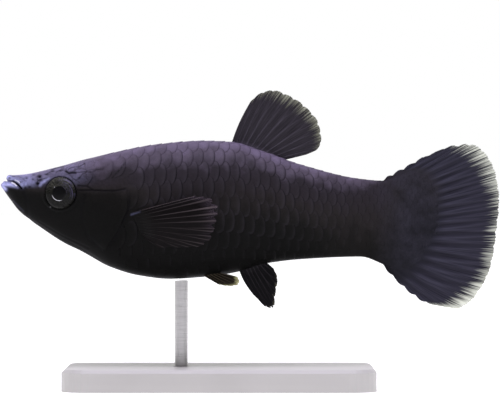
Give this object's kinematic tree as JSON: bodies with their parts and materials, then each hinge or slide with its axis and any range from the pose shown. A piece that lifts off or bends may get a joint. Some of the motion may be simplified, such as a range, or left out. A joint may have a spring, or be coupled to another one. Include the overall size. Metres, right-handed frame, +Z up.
{
  "type": "black molly fish display model",
  "caption": "Life-size black molly fish with fan tail, raised dorsal fin and spread pectoral fins, held level on a rod above a flat display base.",
  "frame": {"origin": "middle of the underside of the whole model's box, on the stand base's underside plane", "axes": "+X from the snout to the tail, +Y to the fish's right side, +Z up"},
  "size_m": [0.09, 0.032, 0.0538],
  "materials": {
    "skin": "moist dark skin and scales, violet grey on the back and near black below",
    "eye": "clear wet cornea over a dark iris and black pupil",
    "fin": "thin dark membrane between rays, with pale translucent margins",
    "stand_base": "matt pale grey",
    "stand_rod": "brushed"
  },
  "bodies": {
    "root": {"head": "skin", "lower_jaw": "skin", "gill_cover_left": "skin", "gill_cover_right": "skin", "eye_left": "eye", "eye_right": "eye", "trunk": "skin", "tail_stalk": "skin", "caudal_fin": "fin", "dorsal_fin": "fin", "anal_fin": "fin", "pectoral_fin_left": "fin", "pectoral_fin_right": "fin", "pelvic_fin_left": "fin", "pelvic_fin_right": "fin", "stand_base": "stand_base", "stand_rod": "stand_rod"}
  },
  "joints": []
}
